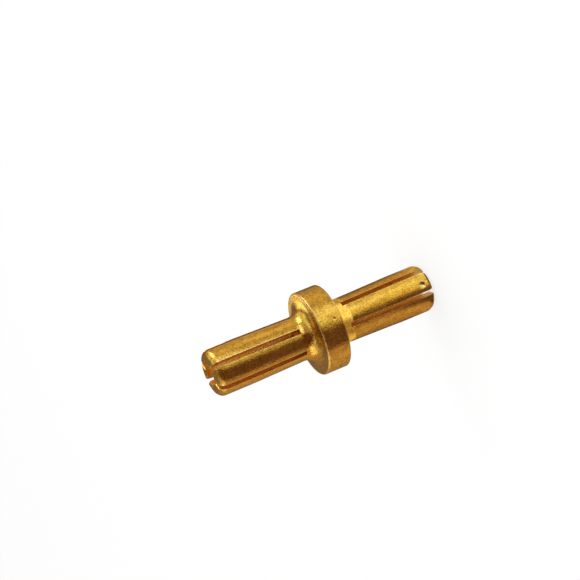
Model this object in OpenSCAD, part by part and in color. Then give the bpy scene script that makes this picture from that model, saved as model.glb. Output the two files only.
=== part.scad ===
// Double-ended bullet connector for joining battery leads.
// One brass piece: turned, drilled from both ends, slotted into spring fingers and gold plated.
// It stands on one tip, with its axis along +Z and z = 0 at the tip it stands on.

/* [Barrels] */
// Diameter of the straight contact band behind each tip, which grips the socket
contact_d = 5.0; // [4.9:0.05:5.4]
// Length of the contact band
contact_l = 2.8; // [1.5:0.1:4]
// Diameter of the barrel where the spring fingers take root
root_d = 4.74; // [4.5:0.02:4.9]
// Length of each barrel, from the flange face to the tip
barrel_l = 11.2; // [10.5:0.1:13]
// Radius of the rounded tip
tip_r = 0.8; // [0.4:0.05:0.8]
// Radius of the fillet between barrel and flange
fillet_r = 1.4; // [0.3:0.05:1.5]

/* [Flange] */
// Diameter of the flange that stops both sockets
flange_d = 8.95; // [8.5:0.05:11]
// Thickness of the flange
flange_t = 2.65; // [1.5:0.05:5]
// Radius on both rims of the flange
rim_r = 0.2; // [0.1:0.05:0.4]

/* [Spring fingers] */
// Diameter of the blind bore in each barrel
bore_d = 2.5; // [2:0.1:3.4]
// Depth of the bore, from the tip to the shoulder of its drill point
bore_depth = 9.8; // [8:0.1:9.8]
// Included angle of the drill point
drill_angle = 118; // [90:1:140]
// Saw passes across each barrel, where each pass cuts two opposite slots
saw_passes = 3; // [2:1:4]
// Width of a slot
slot_w = 0.55; // [0.3:0.05:0.6]
// Depth of a slot from the tip, measured on the axis
slot_depth = 10.1; // [8:0.1:10.1]
// Diameter of the slitting saw, which leaves the slots a curved floor
saw_d = 25; // [24:1:60]
// Angle by which the upper barrel's slots are turned from the lower barrel's
slot_turn = 33; // [0:1:60]
// Radius on the two corners at the end of each finger
corner_r = 0.2; // [0.1:0.05:0.5]

/* [Hidden] */
$fn = 96;
contact_r = contact_d / 2;
root_r = root_d / 2;
band_z = barrel_l - tip_r - contact_l;
total_l = 2 * barrel_l + flange_t;
slots_per_end = 2 * saw_passes;
gold = [0.84, 0.63, 0.24];
over = 0.5;

// Half section of a disc from its axis outwards, with a round of radius e on the upper edge.
module round_topped(r, h, e) {
    square([r - e, h]);
    square([r, h - e]);
    translate([r - e, h - e]) circle(r = e);
}

// Half section of one barrel, growing up from its flange face at height 0.
module barrel_section() {
    polygon([[0, 0], [root_r, 0], [root_r, fillet_r], [contact_r, band_z], [0, band_z]]);
    translate([0, band_z]) round_topped(contact_r, barrel_l - band_z, tip_r);
    translate([root_r, 0]) difference() {
        square(fillet_r);
        translate([fillet_r, fillet_r]) circle(r = fillet_r);
    }
}

// Upper half of the turned blank, from the middle of the flange to the upper tip.
module half_blank() {
    rotate_extrude() {
        round_topped(flange_d / 2, flange_t / 2, rim_r);
        translate([0, flange_t / 2]) barrel_section();
    }
}

// Blind bore with a drill point, in a barrel whose tip is at height 0.
module bore() {
    point_l = bore_d / 2 / tan(drill_angle / 2);
    translate([0, 0, -bore_depth]) cylinder(d = bore_d, h = bore_depth + over);
    translate([0, 0, -bore_depth - point_l]) cylinder(d1 = 0, d2 = bore_d, h = point_l);
}

// One pass of the slitting saw, which leaves two opposite slots.
module saw_pass() {
    translate([0, 0, saw_d / 2 - slot_depth])
        rotate([90, 0, 0]) cylinder(d = saw_d, h = slot_w, center = true);
}

// What rounds the finger corners on both sides of the slot that lies along +X.
module slot_mouth() {
    corner_y = slot_w / 2 + corner_r;
    rotate([90, 0, 90]) linear_extrude(contact_r + over) difference() {
        translate([-corner_y, -corner_r]) square([2 * corner_y, corner_r + over]);
        for (side = [-1, 1])
            translate([side * corner_y, -corner_r]) circle(r = corner_r);
    }
}

// All that the saw and the deburring take from a barrel whose tip is at height 0.
module slots(turn) {
    for (i = [0:slots_per_end - 1])
        rotate([0, 0, turn + i * 360 / slots_per_end]) {
            if (i < saw_passes) saw_pass();
            slot_mouth();
        }
}

// One half of the connector, standing on the middle plane of the flange.
module half(turn) {
    difference() {
        half_blank();
        translate([0, 0, flange_t / 2 + barrel_l]) {
            bore();
            slots(turn);
        }
    }
}

module connector_body() {
    color(gold) translate([0, 0, total_l / 2]) {
        half(slot_turn);
        mirror([0, 0, 1]) half(0);
    }
}

connector_body();
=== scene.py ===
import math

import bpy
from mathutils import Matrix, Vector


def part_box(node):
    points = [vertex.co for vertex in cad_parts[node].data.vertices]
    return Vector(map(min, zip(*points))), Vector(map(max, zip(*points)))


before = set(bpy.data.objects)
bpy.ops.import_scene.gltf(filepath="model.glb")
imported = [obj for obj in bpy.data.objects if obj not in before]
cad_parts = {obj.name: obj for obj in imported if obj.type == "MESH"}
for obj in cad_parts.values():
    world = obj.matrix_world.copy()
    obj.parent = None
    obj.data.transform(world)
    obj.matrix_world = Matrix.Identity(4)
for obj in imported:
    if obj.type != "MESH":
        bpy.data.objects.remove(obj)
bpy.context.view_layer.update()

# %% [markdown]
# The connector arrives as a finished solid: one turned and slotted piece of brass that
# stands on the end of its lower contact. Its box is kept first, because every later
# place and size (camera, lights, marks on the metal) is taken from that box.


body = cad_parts["connector_body"]
low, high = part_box("connector_body")
middle = (low + high) / 2
length = high.z - low.z
collar_radius = (high.x - low.x) / 2
MM = 0.001
print("length and collar width, mm:", round(length / MM, 2), round(2 * collar_radius / MM, 2))

# %% [markdown]
# The connector is looked at from a little above and nearly side on, from seven lengths
# away. The camera is rolled so that the standing piece runs across the view with its
# upper contact at the lower left. A long lens keeps both barrels nearly the same width.


# %% Camera
def direction(azimuth, elevation):
    """Unit vector for a compass angle from +X and a height angle, in degrees."""
    a, e = math.radians(azimuth), math.radians(elevation)
    return Vector((math.cos(a) * math.cos(e), math.sin(a) * math.cos(e), math.sin(e)))


LENS_AZIMUTH = 18.5
LENS_ELEVATION = 17.9
LENS_ROLL = -111.9
LENGTHS_AWAY = 7.362
AIM_OFF_MIDDLE = Vector((-0.0714, 0.183, 0.0479))
camera_data = bpy.data.cameras.new("camera")
camera = bpy.data.objects.new("camera", camera_data)
bpy.context.scene.collection.objects.link(camera)
camera_data.sensor_width = 36
camera_data.lens = 111.7
camera_data.clip_start = 1 * MM
camera.location = middle + direction(LENS_AZIMUTH, LENS_ELEVATION) * length * LENGTHS_AWAY
aim = middle + AIM_OFF_MIDDLE * length
facing = (aim - camera.location).to_track_quat("-Z", "Y").to_matrix()
rolled = facing @ Matrix.Rotation(math.radians(LENS_ROLL), 3, "Z")
camera.matrix_world = Matrix.Translation(camera.location) @ rolled.to_4x4()
bpy.context.scene.camera = camera
bpy.context.scene.view_settings.view_transform = "Standard"
print("camera stands at, mm:", [round(v / MM, 1) for v in camera.location])

# %% [markdown]
# Every material here is a small tree of nodes, so three helpers come first. One makes an
# empty material, one adds a node with its sockets filled, and one adds a Math node. A
# socket takes either a number or the output of another node, and the helper links the
# latter, so a material reads like a sum and not like a list of wires.


# %% Helpers for node trees
def new_material(name):
    """An empty node material and its node tree."""
    material = bpy.data.materials.new(name)
    material.use_nodes = True
    material.node_tree.nodes.clear()
    return material, material.node_tree


def add(tree, kind, sockets=None, **settings):
    """A new node with its settings, and with its inputs set to values or to other outputs."""
    made = tree.nodes.new(kind)
    for name, value in settings.items():
        setattr(made, name, value)
    for name, value in (sockets or {}).items():
        if isinstance(value, bpy.types.NodeSocket):
            tree.links.new(value, made.inputs[name])
        else:
            made.inputs[name].default_value = value
    return made


def calc(tree, operation, *values):
    """The output of a Math node whose inputs are numbers or other outputs."""
    return add(tree, "ShaderNodeMath", dict(enumerate(values)), operation=operation).outputs[0]


print("materials that came with the frame:", len(bpy.data.materials))

# %% [markdown]
# The stage is a plain white table. White is what the lens and anything shiny sees
# directly, while the diffuse part of the surface still takes the soft shadow under the
# connector. Mixing the two by the kind of ray keeps the background even without adding
# any light to the object.


# %% White table
def stage_object(name, verts, faces, material):
    """A mesh that belongs to the stage and not to the connector."""
    mesh = bpy.data.meshes.new(name)
    mesh.from_pydata(verts, [], faces)
    mesh.materials.append(material)
    made = bpy.data.objects.new(name, mesh)
    bpy.context.scene.collection.objects.link(made)
    return made


SHADOW_DEPTH = 0.25
white, tree = new_material("white_table")
paper = add(tree, "ShaderNodeBsdfDiffuse", {"Color": (0.9, 0.9, 0.9, 1)})
glow = add(tree, "ShaderNodeEmission", {"Strength": 1.0})
rays = add(tree, "ShaderNodeLightPath").outputs
direct = calc(tree, "MAXIMUM", rays["Is Camera Ray"], rays["Is Glossy Ray"])
direct = calc(tree, "MAXIMUM", direct, rays["Is Transmission Ray"])
share = calc(tree, "MULTIPLY", direct, 1 - SHADOW_DEPTH)
blend = add(tree, "ShaderNodeMixShader", {0: share, 1: paper.outputs[0], 2: glow.outputs[0]})
add(tree, "ShaderNodeOutputMaterial", {"Surface": blend.outputs[0]})
reach = length * 60
corners = [(-reach, -reach, 0), (reach, -reach, 0), (reach, reach, 0), (-reach, reach, 0)]
stage_object("white_table", corners, [(0, 1, 2, 3)], white)
print("table reaches, mm:", round(reach / MM))

# %% [markdown]
# Polished metal shows its surroundings, so a metal piece is lit mostly by what stands
# round it. In a studio one would bend paper into a low tent round a piece like this:
# white where a bright streak is wanted, tan for the middle tones and dark brown for the
# crisp shadow band that gives a round bar its form. Lamps alone would leave most of the
# metal black or white. Here each paper is a turned sheet that only mirror rays can see.


# %% Turned paper
def turned_sheet(profile, steps):
    """Points and faces of a sheet turned about the Z axis from (radius, height) in mm."""
    turns = [2 * math.pi * i / steps for i in range(steps)]
    verts = [(r * MM * math.cos(t), r * MM * math.sin(t), z * MM)
             for r, z in profile for t in turns]
    faces = [(row + i, row + (i + 1) % steps, row + steps + (i + 1) % steps, row + steps + i)
             for row in range(0, (len(profile) - 1) * steps, steps) for i in range(steps)]
    return verts, faces


def only_mirrored(card):
    """Lets a card show in reflections and nowhere else."""
    for way in ("visible_camera", "visible_diffuse", "visible_shadow", "visible_transmission"):
        setattr(card, way, False)


print("faces in one turn of paper:", len(turned_sheet([(1, 0), (2, 0)], 96)[1]))

# %% [markdown]
# The straight barrels and the collar are all turned about the same upright axis, so a
# streak along them comes from one compass direction of the paper. That makes a colour
# ramp that goes once round the compass the right paint: each stop is one streak.


# %% Paint round the compass
def round_compass(name, tones):
    """Glowing paper whose colour goes round the Z axis: (degrees from the lens, colour)."""
    material, tree = new_material(name)
    place = add(tree, "ShaderNodeTexCoord").outputs["Object"]
    spin = {"Vector": place, "Angle": math.radians(-LENS_AZIMUTH)}
    spun = add(tree, "ShaderNodeVectorRotate", spin, rotation_type="Z_AXIS")
    axes = add(tree, "ShaderNodeSeparateXYZ", {0: spun.outputs[0]}).outputs
    angle = calc(tree, "ARCTAN2", axes["Y"], axes["X"])
    turn = calc(tree, "MULTIPLY_ADD", angle, 0.5 / math.pi, 0.5)
    ramp = add(tree, "ShaderNodeValToRGB", {"Fac": turn})
    glow = add(tree, "ShaderNodeEmission", {"Color": ramp.outputs["Color"], "Strength": 1.0})
    add(tree, "ShaderNodeOutputMaterial", {"Surface": glow.outputs[0]})
    stops = ramp.color_ramp.elements
    while len(stops) < len(tones):
        stops.new(0.5)
    for stop, (degrees, tone) in zip(stops, tones):
        stop.position = (degrees + 180) / 360
        stop.color = (*tone, 1)
    return material


print("degrees from the lens run from -180 to 180, and the lens stands at", LENS_AZIMUTH)

# %% [markdown]
# The tent itself lies on the table near the connector and rises further out. Its tones
# are listed one by one. A second, flat ring of paper lies on it, closer in, with slightly
# other tones, because that is the part of the floor that the lower barrel mirrors.

# %% Paper tent
TENT_TONES = [
    (-180, (0.25, 0.20, 0.20)), (-165, (0.30, 0.23, 0.20)), (-150, (0.38, 0.29, 0.25)),
    (-125, (0.50, 0.36, 0.27)), (-90, (0.54, 0.38, 0.27)), (-72, (0.51, 0.35, 0.25)),
    (-61, (0.44, 0.28, 0.20)), (-56, (0.13, 0.068, 0.055)), (-7, (0.14, 0.072, 0.058)),
    (0, (0.42, 0.31, 0.17)), (6, (0.74, 0.68, 0.42)), (20, (0.80, 0.76, 0.48)),
    (28, (1.0, 1.0, 0.85)), (43, (1.0, 1.0, 0.85)), (50, (0.78, 0.72, 0.55)),
    (58, (0.50, 0.39, 0.26)), (70, (0.50, 0.39, 0.25)), (84, (0.73, 0.60, 0.36)),
    (102, (0.54, 0.43, 0.32)), (132, (0.52, 0.42, 0.34)), (142, (0.30, 0.24, 0.20)),
    (152, (0.19, 0.15, 0.12)), (180, (0.24, 0.20, 0.18)),
]
TENT_PROFILE = [(2.4, 0.15), (80, 0.15), (110, 6), (125, 25), (132, 60), (120, 110), (90, 140)]
FLOOR_TONES = [
    (-180, (0.24, 0.19, 0.17)), (-150, (0.24, 0.17, 0.13)), (-125, (0.36, 0.25, 0.18)),
    (-105, (0.46, 0.32, 0.22)), (-72, (0.54, 0.37, 0.23)), (-61, (0.46, 0.30, 0.18)),
    (-56, (0.13, 0.065, 0.05)), (-7, (0.12, 0.06, 0.045)), (0, (0.38, 0.27, 0.13)),
    (6, (0.72, 0.60, 0.30)), (20, (0.80, 0.68, 0.35)), (28, (1.05, 1.0, 0.68)),
    (43, (1.08, 1.05, 0.78)), (50, (0.90, 0.85, 0.60)), (58, (0.55, 0.42, 0.28)),
    (100, (0.54, 0.40, 0.29)), (118, (0.45, 0.32, 0.22)), (130, (0.33, 0.24, 0.17)),
    (140, (0.16, 0.12, 0.08)), (180, (0.20, 0.17, 0.14)),
]
FLOOR_PROFILE = [(6, 0.25), (33, 0.25)]
PAPERS = {"paper_tent": (TENT_PROFILE, TENT_TONES), "floor_paper": (FLOOR_PROFILE, FLOOR_TONES)}
for name, (profile, tones) in PAPERS.items():
    only_mirrored(stage_object(name, *turned_sheet(profile, 96), round_compass(name, tones)))
    print(name, "has", len(tones), "tones")

# %% [markdown]
# Higher up, single cards hang inside the tent. Each one is a patch of a ball round the
# connector, given by how far it turns from the lens and how high it hangs. The fillets
# and the rounded tips look up at these cards, and the straight barrels look below them.
# A few small cards stand close by, for one fillet or one end of a barrel only.


# %% Hanging cards
def hanging_card(name, distance, turn, height, tone):
    """A curved card between two turns from the lens and two heights, in degrees."""
    across, up = 16, 10
    row = across + 1
    verts = []
    for j in range(up + 1):
        for i in range(row):
            spot = middle + distance * MM * direction(
                LENS_AZIMUTH + turn[0] + (turn[1] - turn[0]) * i / across,
                height[0] + (height[1] - height[0]) * j / up)
            verts.append((spot.x, spot.y, max(spot.z, 0.3 * MM)))
    faces = [(j * row + i, j * row + i + 1, (j + 1) * row + i + 1, (j + 1) * row + i)
             for j in range(up) for i in range(across)]
    material, tree = new_material(name)
    glow = add(tree, "ShaderNodeEmission", {"Color": (*tone, 1), "Strength": 1.0})
    add(tree, "ShaderNodeOutputMaterial", {"Surface": glow.outputs[0]})
    only_mirrored(stage_object(name, verts, faces, material))


FAR = 95
CARDS = {
    "maroon_card": (FAR, (-58, 14), (-4, 56), (0.11, 0.042, 0.032)),
    "brown_card": (FAR, (-48, 12), (56, 74), (0.14, 0.072, 0.05)),
    "white_strip": (FAR, (18, 60), (-5, 13), (1.5, 1.6, 2.0)),
    "tan_card": (FAR, (8, 54), (16, 66), (0.48, 0.40, 0.30)),
    "side_card": (FAR, (60, 96), (40, 66), (0.78, 0.78, 0.70)),
    "left_white": (FAR, (-112, -57), (10, 46), (1.15, 1.05, 0.80)),
    "right_white": (FAR, (98, 128), (36, 56), (0.92, 0.95, 0.90)),
    "dark_back": (FAR, (130, 150), (-6, 18), (0.28, 0.20, 0.15)),
    "crown_card": (FAR, (-180, 180), (74, 90), (0.22, 0.14, 0.10)),
    "rear_card": (FAR, (97, 248), (56, 76), (0.20, 0.17, 0.12)),
    "left_high": (FAR, (-112, -60), (60, 76), (0.22, 0.17, 0.11)),
    "near_white": (16, (138, 166), (22, 46), (1.8, 1.7, 1.4)),
    "near_back": (16, (166, 179), (9, 24), (0.80, 0.74, 0.66)),
    "root_card": (52, (76, 100), (-14.5, -10.5), (0.95, 0.80, 0.52)),
    "near_right": (40, (98, 128), (16, 32), (0.92, 0.92, 0.80)),
}
for name, card in CARDS.items():
    hanging_card(name, *card)
print("cards:", len(CARDS))

# %% [markdown]
# Two small rings of paper lie right at the metal. One is a dark disc on the table under
# the foot, a painted shadow: the table there lies in the connector's shade, and without it
# the rounded tip of the lower barrel would mirror nothing but white table. The other goes
# round the lower barrel just under its fillet, which looks down and takes its bright edge
# from there.

# %% Paper rings
PAPER_RINGS = {
    # a painted shadow: dark paper for the shade under the foot
    "foot_shadow_disc": ([(1.65, 0.004), (2.36, 0.004), (2.45, 0.14)],
                  [(-180, (0.22, 0.16, 0.09)), (180, (0.22, 0.16, 0.09))]),
    "fillet_ring": ([(2.6, 9.4), (4.3, 9.4)],
                    [(-120, (0.60, 0.42, 0.26)), (-90, (0.85, 0.72, 0.5)),
                     (-62, (0.85, 0.72, 0.5)), (-52, (0.45, 0.33, 0.2)),
                     (-12, (0.45, 0.33, 0.2)), (4, (1.35, 1.3, 1.1)),
                     (54, (1.35, 1.3, 1.1)), (66, (0.6, 0.5, 0.35))]),
}
for name, (profile, tones) in PAPER_RINGS.items():
    only_mirrored(stage_object(name, *turned_sheet(profile, 64), round_compass(name, tones)))
print("paper rings:", len(PAPER_RINGS))

# %% [markdown]
# The room itself is evenly white. Two soft boxes give the plain light: a small one at
# the side leaves the bright flash on the rounded shoulders, and a large one far
# overhead makes the soft shadow on the table.


# %% Room and soft boxes
def soft_box(name, turn, height, distance, width, tall, glow):
    """A soft box that faces the connector and looks as bright as glow; sizes in mm."""
    lamp = bpy.data.lights.new(name, "AREA")
    lamp.shape = "RECTANGLE"
    lamp.size, lamp.size_y = width * MM, tall * MM
    lamp.energy = glow * math.pi * lamp.size * lamp.size_y
    made = bpy.data.objects.new(name, lamp)
    bpy.context.scene.collection.objects.link(made)
    made.location = middle + direction(LENS_AZIMUTH + turn, height) * distance * MM
    made.rotation_euler = (middle - made.location).to_track_quat("-Z", "Y").to_euler()
    return made


world = bpy.data.worlds.new("pale_room")
bpy.context.scene.world = world
world.use_nodes = True
world.node_tree.nodes.clear()
room = add(world.node_tree, "ShaderNodeBackground", {"Color": (1.0, 1.0, 1.0, 1), "Strength": 1.0})
add(world.node_tree, "ShaderNodeOutputWorld", {"Surface": room.outputs[0]})
soft_box("side_box", turn=88, height=17, distance=88, width=42, tall=32, glow=4.0)
high_box = soft_box("high_box", turn=150, height=70, distance=400, width=200, tall=200, glow=1.5)
high_box.visible_glossy = False
print("soft boxes:", len(bpy.data.lights))

# %% [markdown]
# Plated brass is never one even tone. Seen close, the thin gold follows every trace
# that the lathe and the barrel finishing left in the brass, so the shine breaks up into
# a fine satin grain with slow cloudy patches, and faint streaks run along the axis. The
# grain could be modelled, but it is only a few thousandths of a millimetre deep, so
# noise that feeds a bump is enough.


# %% Group: satin grain
def new_group(name, inputs, outputs):
    """An empty shader group with named sockets, and the outputs of its input node."""
    group = bpy.data.node_groups.new(name, "ShaderNodeTree")
    for label, kind, value in inputs:
        socket = group.interface.new_socket(label, in_out="INPUT", socket_type=kind)
        if value is not None:
            socket.default_value = value
    for label in outputs:
        group.interface.new_socket(label, in_out="OUTPUT", socket_type=NUMBER)
    return group, group.nodes.new("NodeGroupInput").outputs


NUMBER, VECTOR = "NodeSocketFloat", "NodeSocketVector"
STREAK_STRETCH = (1, 1, 0.12)
satin_grain, given = new_group(
    "satin_grain",
    [("Place", VECTOR, None), ("Grain per mm", NUMBER, 5.0), ("Clouds per mm", NUMBER, 1.0),
     ("Streaks per mm", NUMBER, 4.0)],
    ["Grain", "Clouds", "Streaks"])
stretched = add(satin_grain, "ShaderNodeVectorMath", {0: given["Place"], 1: STREAK_STRETCH},
                operation="MULTIPLY").outputs[0]
woven = {}
for label, detail, spot in (("Grain", 3.0, given["Place"]), ("Clouds", 4.0, given["Place"]),
                            ("Streaks", 2.0, stretched)):
    per_metre = calc(satin_grain, "MULTIPLY", given[label + " per mm"], 1 / MM)
    noise = {"Vector": spot, "Scale": per_metre, "Detail": detail, "Roughness": 0.6}
    woven[label] = add(satin_grain, "ShaderNodeTexNoise", noise).outputs["Fac"]
add(satin_grain, "NodeGroupOutput", woven)
print("group:", satin_grain.name)

# %% [markdown]
# A mark is a small place where something touched the metal: two nicks beside the lower
# tip and two pits on the collar. The group says how deep inside such a mark each point
# of the surface lies, as a soft ball round a centre, and is placed once for each mark.


# %% Group: single mark
def rise(tree, value, start, stop, curve="LINEAR"):
    """Goes from 0 to 1 while a value goes from start to stop, and stays flat beyond."""
    span = {"Value": value, "From Min": start, "From Max": stop}
    return add(tree, "ShaderNodeMapRange", span, interpolation_type=curve).outputs["Result"]


single_mark, given = new_group(
    "single_mark",
    [("Place", VECTOR, None), ("Centre", VECTOR, (0.0, 0.0, 0.0)), ("Size", VECTOR, (MM, MM, MM))],
    ["Depth"])
offset = add(single_mark, "ShaderNodeVectorMath", {0: given["Place"], 1: given["Centre"]},
             operation="SUBTRACT").outputs[0]
scaled = add(single_mark, "ShaderNodeVectorMath", {0: offset, 1: given["Size"]},
             operation="DIVIDE").outputs[0]
far_off = add(single_mark, "ShaderNodeVectorMath", {0: scaled}, operation="LENGTH").outputs["Value"]
add(single_mark, "NodeGroupOutput", {"Depth": rise(single_mark, far_off, 1.0, 0.1, "SMOOTHSTEP")})
print("group:", single_mark.name)

# %% [markdown]
# The rims come first, for their painted highlight: a lighter band that stands in for
# the light a rounded rim catches. A rim is a circle about the axis, so the distance to that
# circle is enough to find it: the group takes the circle's radius and its height from
# the middle of the connector, and the two like edges of both halves come out together.
# The same band also places the painted shade on the collar's face.


# %% Group: ring band
def fading(tree, distance, width):
    """Goes from 1 on a line to 0 at one width away from it."""
    share = calc(tree, "DIVIDE", distance, width)
    return calc(tree, "SUBTRACT", 1.0, calc(tree, "MINIMUM", share, 1.0))


ring_band, given = new_group(
    "ring_band",
    [("Radius", NUMBER, 0.0), ("Height", NUMBER, 0.0), ("Ring radius", NUMBER, MM),
     ("Ring height", NUMBER, MM), ("Width", NUMBER, 0.1 * MM)],
    ["Closeness"])
aside = calc(ring_band, "SUBTRACT", given["Radius"], given["Ring radius"])
above = calc(ring_band, "SUBTRACT", given["Height"], given["Ring height"])
square_away = calc(ring_band, "ADD", calc(ring_band, "MULTIPLY", aside, aside),
                   calc(ring_band, "MULTIPLY", above, above))
away = calc(ring_band, "SQRT", square_away)
add(ring_band, "NodeGroupOutput", {"Closeness": fading(ring_band, away, given["Width"])})
print("group:", ring_band.name)

# %% [markdown]
# The long edges of the slots get a painted highlight too, a lighter band for the light these edges
# catch.
# All slots of one end are one pattern turned round the axis, so the group folds the
# angle back to a single slot and measures how far each point lies from its two edges.

# %% Group: slot edges
SLOTS_PER_END = 6
half_pitch = math.pi / SLOTS_PER_END
slot_edges, given = new_group(
    "slot_edges",
    [("Angle", NUMBER, 0.0), ("Radius", NUMBER, 0.0), ("First slot", NUMBER, 0.0),
     ("Half slot", NUMBER, 0.275 * MM), ("Width", NUMBER, 0.15 * MM)],
    ["Closeness"])
turned = calc(slot_edges, "SUBTRACT", given["Angle"], given["First slot"])
folded = calc(slot_edges, "ABSOLUTE", calc(slot_edges, "WRAP", turned, half_pitch, -half_pitch))
along = calc(slot_edges, "MULTIPLY", folded, given["Radius"])
past = calc(slot_edges, "ABSOLUTE", calc(slot_edges, "SUBTRACT", along, given["Half slot"]))
add(slot_edges, "NodeGroupOutput", {"Closeness": fading(slot_edges, past, given["Width"])})
print("group:", slot_edges.name)

# %% [markdown]
# Now the metal, which is brass under a thin coat of gold. The colour of a metal is the
# tint that it gives its reflections, and that tint changes from place to place. So every
# point needs three facts: how far it is from the axis, how far from the middle plane,
# and at what angle round the axis. The sizes of the turned forms are shares of the box.

# %% Gold plated brass: places
gold, tree = new_material("gold_plated_brass")
place = add(tree, "ShaderNodeTexCoord").outputs["Object"]
axes = add(tree, "ShaderNodeSeparateXYZ", {0: place}).outputs
square_radius = calc(tree, "ADD", calc(tree, "MULTIPLY", axes["X"], axes["X"]),
                     calc(tree, "MULTIPLY", axes["Y"], axes["Y"]))
radius = calc(tree, "SQRT", square_radius)
height = calc(tree, "ABSOLUTE", calc(tree, "SUBTRACT", axes["Z"], middle.z))
angle = calc(tree, "ARCTAN2", axes["Y"], axes["X"])
barrel_radius = collar_radius * 0.5587
root_radius = collar_radius * 0.5296
bore_radius = collar_radius * 0.2793
half_collar = length * 0.0529
print("barrel and bore radius, mm:", round(barrel_radius / MM, 2), round(bore_radius / MM, 2))

# %% [markdown]
# The outer skin takes the plating and the polish best, and the bores and slots the
# least. The skin is what lies outside the root of the barrels, or at the tips, and faces
# away from the axis or along it. The walls of a slot face sideways, so they drop out.

# %% Gold plated brass: outer skin
flat_place = add(tree, "ShaderNodeVectorMath", {0: place, 1: (1, 1, 0)}, operation="MULTIPLY")
spoke = add(tree, "ShaderNodeVectorMath", {0: flat_place.outputs[0]},
            operation="NORMALIZE").outputs[0]
normal = add(tree, "ShaderNodeNewGeometry").outputs["Normal"]
facing_out = add(tree, "ShaderNodeVectorMath", {0: spoke, 1: normal},
                 operation="DOT_PRODUCT").outputs["Value"]
facing_along = calc(tree, "ABSOLUTE", add(tree, "ShaderNodeSeparateXYZ", {0: normal}).outputs["Z"])
shown = rise(tree, calc(tree, "MAXIMUM", facing_out, facing_along), 0.2, 0.5)
skin = rise(tree, radius, root_radius - 0.22 * MM, root_radius - 0.06 * MM)
at_tip = rise(tree, height, length / 2 - 1.0 * MM, length / 2 - 0.6 * MM)
outside = calc(tree, "MULTIPLY", shown, calc(tree, "MAXIMUM", skin, at_tip))
print("skin starts at radius, mm:", round(root_radius / MM - 0.22, 2))

# %% [markdown]
# The grain is placed once for the whole piece. The marks are placed one by one, each by
# its angle round the axis, its height over the foot and its radius, and each has a size
# in mm along X, Y and Z and a strength.


# %% Gold plated brass: grain and marks
def spot_on_metal(azimuth, over_foot, out_to):
    """A point by its angle from +X in degrees, its height over the foot in mm, its radius."""
    a = math.radians(azimuth)
    return Vector((out_to * math.cos(a), out_to * math.sin(a), low.z + over_foot * MM))


grain = add(tree, "ShaderNodeGroup", {"Place": place, "Grain per mm": 5.5, "Clouds per mm": 1.6,
                                      "Streaks per mm": 4.0}, node_tree=satin_grain).outputs
MARKS = [
    (spot_on_metal(24.0, 1.2, barrel_radius), (0.40, 0.42, 0.46), 0.9),
    (spot_on_metal(30.5, 0.66, barrel_radius), (0.18, 0.20, 0.22), 0.6),
    (spot_on_metal(24.5, 12.02, collar_radius), (0.20, 0.20, 0.17), 0.36),
    (spot_on_metal(26.5, 13.54, collar_radius), (0.12, 0.12, 0.14), 0.25),
]
depth = 0.0
for centre, size, strength in MARKS:
    inside = {"Place": place, "Centre": centre, "Size": [s * MM for s in size]}
    mark = add(tree, "ShaderNodeGroup", inside, node_tree=single_mark).outputs["Depth"]
    depth = calc(tree, "MAXIMUM", depth, calc(tree, "MULTIPLY", mark, strength))
print("marks:", len(MARKS))

# %% [markdown]
# Hands and sockets rub the rims of the collar and the edges of the slots bright, while
# the flat of the collar's face goes dull on the side where it is held.


# %% Gold plated brass: painted edge highlights and face shade
def ring_on_metal(ring_radius, ring_height, width):
    """How close each point is to one ring of the connector."""
    ring = {"Radius": radius, "Height": height, "Ring radius": ring_radius,
            "Ring height": ring_height, "Width": width}
    return add(tree, "ShaderNodeGroup", ring, node_tree=ring_band).outputs["Closeness"]


def slots_on_metal(first_slot):
    """How close each point is to the slot edges of one end; the angle is in degrees."""
    slots = {"Angle": angle, "Radius": radius, "First slot": math.radians(first_slot)}
    return add(tree, "ShaderNodeGroup", slots, node_tree=slot_edges).outputs["Closeness"]


UPPER_SLOT, LOWER_SLOT, SHADED_SIDE = 33, 0, 23.5
# painted highlight: the rims of the collar are painted a lighter gold
rim = ring_on_metal(collar_radius - 0.06 * MM, half_collar - 0.06 * MM, 0.16 * MM)
# painted shade: the collar's face is painted darker on one side
face = ring_on_metal(collar_radius - 0.6 * MM, half_collar, 0.7 * MM)
toward = add(tree, "ShaderNodeVectorMath", {0: spoke, 1: direction(SHADED_SIDE, 0)},
             operation="DOT_PRODUCT").outputs["Value"]
face_shade_patch = calc(tree, "MULTIPLY", face, rise(tree, toward, 0.62, 0.86))
upper_half = calc(tree, "GREATER_THAN", axes["Z"], middle.z)
# painted highlight: a lighter band along the long edges of the slots
upper_edges = calc(tree, "MULTIPLY", slots_on_metal(UPPER_SLOT), upper_half)
lower_half = calc(tree, "SUBTRACT", 1.0, upper_half)
lower_edges = calc(tree, "MULTIPLY", slots_on_metal(LOWER_SLOT), lower_half)
past_fillet = rise(tree, height, 2.7 * MM, 3.0 * MM)
slot_highlight = calc(tree, "MULTIPLY", calc(tree, "ADD", upper_edges, lower_edges), past_fillet)
print("painted rim highlights at, mm from the middle:", round(half_collar / MM, 2))

# %% [markdown]
# Inside the bores and slots the gold is thin and the brass is as the drill and the saw
# left it, so it is browner and scatters more light. Light that falls in near a tip goes
# to and fro between the walls many times before it comes out, and comes out yellow. One
# reflection can't show that, so there this yellow light is painted into the wall's colour
# and the wall is made more matt, by a mask that also lowers Metallic. At the foot the
# inner walls are painted pale, a painted highlight for the strong light that falls on them.


# %% Gold plated brass: inner walls
def mixed(tree, share, below, above, blend="MIX"):
    """A colour between two others, each given as a colour or as an output."""
    return add(tree, "ShaderNodeMix", {0: share, 6: below, 7: above},
               data_type="RGBA", blend_type=blend).outputs[2]


# painted light: the yellow of the inner walls near a tip stands in for light bouncing in the slots
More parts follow.
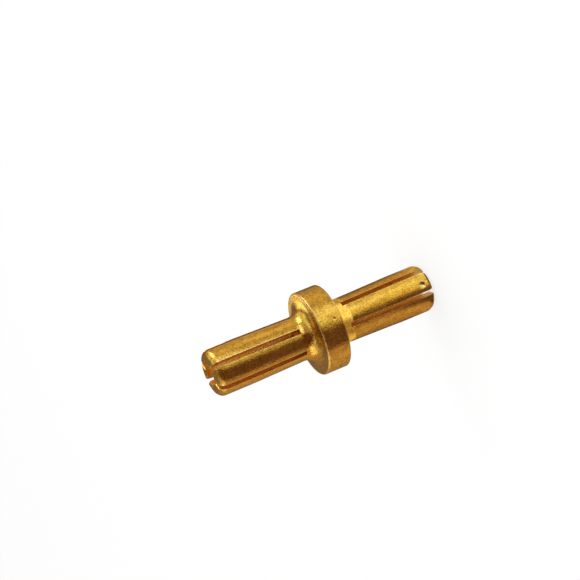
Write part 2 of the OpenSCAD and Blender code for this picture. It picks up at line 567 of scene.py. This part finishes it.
AS_SAWN, SAWN_IN_LIGHT = (0.80, 0.45, 0.075, 1), (0.98, 0.66, 0.17, 1)
# painted highlight: the pale tone of the inner walls at the foot
FOOT_PAINTED_LIGHT = (0.98, 0.72, 0.33, 1)
GLOW_REACH, GLOW_FULL = 10.5, 8
near_mouth = rise(tree, height, length / 2 - GLOW_REACH * MM, length / 2 - GLOW_FULL * MM)
inside_end = rise(tree, height, length / 2 - 0.3 * MM, length / 2 - 1.6 * MM)
near_bore = rise(tree, radius, bore_radius + 0.75 * MM, bore_radius + 0.35 * MM)
lit = calc(tree, "MULTIPLY", calc(tree, "MULTIPLY", near_mouth, inside_end), near_bore)
at_foot = rise(tree, axes["Z"], low.z + 1.6 * MM, low.z + 0.9 * MM)
inner = mixed(tree, at_foot, mixed(tree, lit, AS_SAWN, SAWN_IN_LIGHT), FOOT_PAINTED_LIGHT)
print("inner walls glow up to, mm from a tip:", GLOW_FULL, "and fade out by", GLOW_REACH)

# %% [markdown]
# The outer colour drifts with the clouds between a redder and a yellower gold. Over it
# come the painted highlights on the rims and the slot edges, the painted shade on the
# collar's face and a pale colour in the marks, which is partly fresh metal and partly a
# painted glint, and last a fine speckle, which is much weaker on the inner walls.

# %% Gold plated brass: colour
REDDER, YELLOWER = (0.82, 0.488, 0.084, 1), (0.90, 0.575, 0.120, 1)
RIM_HIGHLIGHT, SLOT_EDGE_HIGHLIGHT = (0.92, 0.69, 0.29, 1), (1.0, 0.79, 0.34, 1)
PAINTED_FACE_SHADE, FRESH_AND_GLINT = (0.42, 0.34, 0.15, 1), (1.0, 0.90, 0.50, 1)
tint = add(tree, "ShaderNodeValToRGB", {"Fac": grain["Clouds"]})
for stop, (position, tone) in zip(tint.color_ramp.elements, ((0.35, REDDER), (0.65, YELLOWER))):
    stop.position, stop.color = position, tone
colour = mixed(tree, outside, inner, tint.outputs["Color"])
# painted light: highlights on rims and slot edges, shade on the collar's face, and a glint that is
# partly fresh metal in the marks
LAYERS = [(calc(tree, "MULTIPLY", rim, 0.8), RIM_HIGHLIGHT),
          (calc(tree, "MULTIPLY", slot_highlight, outside), SLOT_EDGE_HIGHLIGHT),
          (face_shade_patch, PAINTED_FACE_SHADE), (depth, FRESH_AND_GLINT)]
for share, tone in LAYERS:
    colour = mixed(tree, share, colour, tone)
uneven = calc(tree, "MULTIPLY_ADD", grain["Grain"], 1.8, -0.4)
uneven = calc(tree, "MULTIPLY_ADD", grain["Clouds"], 0.6, uneven)
uneven = calc(tree, "MULTIPLY_ADD", grain["Streaks"], 0.4, uneven)
speckle = calc(tree, "MULTIPLY_ADD", outside, 0.6, 0.4)
colour = mixed(tree, speckle, colour, uneven, "MULTIPLY")
print("layers over the gold:", len(LAYERS), "and a speckle")

# %% [markdown]
# The shine changes with the clouds too, and each place adds its own roughness. The
# grain and the marks feed one bump, which works in metres. Seen at a glancing angle,
# clean metal turns white, and a golden Specular Tint holds that back, as the thin film
# left by handling does. Then the finish goes onto the connector that came with the
# frame, so its shape stays what it was.

# %% Gold plated brass: shine and relief
CLEAREST, CLOUDS_ADD = 0.05, 0.16
ROUGH_INSIDE, ROUGH_RIM, ROUGH_DULLED, ROUGH_TIP = 0.35, 0.35, 0.25, 0.12
GRAIN_HEIGHT = 0.022 * MM
rough = calc(tree, "MULTIPLY_ADD", grain["Clouds"], CLOUDS_ADD, CLEAREST)
within = calc(tree, "SUBTRACT", 1.0, outside)
for where, added in ((within, ROUGH_INSIDE), (rim, ROUGH_RIM), (face_shade_patch, ROUGH_DULLED),
                     (at_tip, ROUGH_TIP)):
    rough = calc(tree, "MULTIPLY_ADD", where, added, rough)
smooth_in_marks = calc(tree, "MULTIPLY_ADD", depth, -1.5, 1.0)
rough = calc(tree, "MULTIPLY", rough, smooth_in_marks)
relief = calc(tree, "MULTIPLY_ADD", depth, -7.5, grain["Grain"])
relief = calc(tree, "MULTIPLY_ADD", grain["Clouds"], 0.25, relief)
relief = calc(tree, "MULTIPLY_ADD", grain["Streaks"], 0.1, relief)
bump = add(tree, "ShaderNodeBump", {"Strength": 1.0, "Distance": GRAIN_HEIGHT, "Height": relief})
metal = add(tree, "ShaderNodeBsdfPrincipled", {
    "Base Color": colour,
    "Metallic": calc(tree, "MULTIPLY_ADD", lit, -0.85, 1.0),
    "Roughness": rough,
    "Normal": bump.outputs["Normal"],
    "Specular Tint": (0.86, 0.76, 0.62, 1),
})
add(tree, "ShaderNodeOutputMaterial", {"Surface": metal.outputs[0]})
for socket in body.material_slots:
    socket.material = gold
print("finish on:", body.name, "with", len(tree.nodes), "nodes")
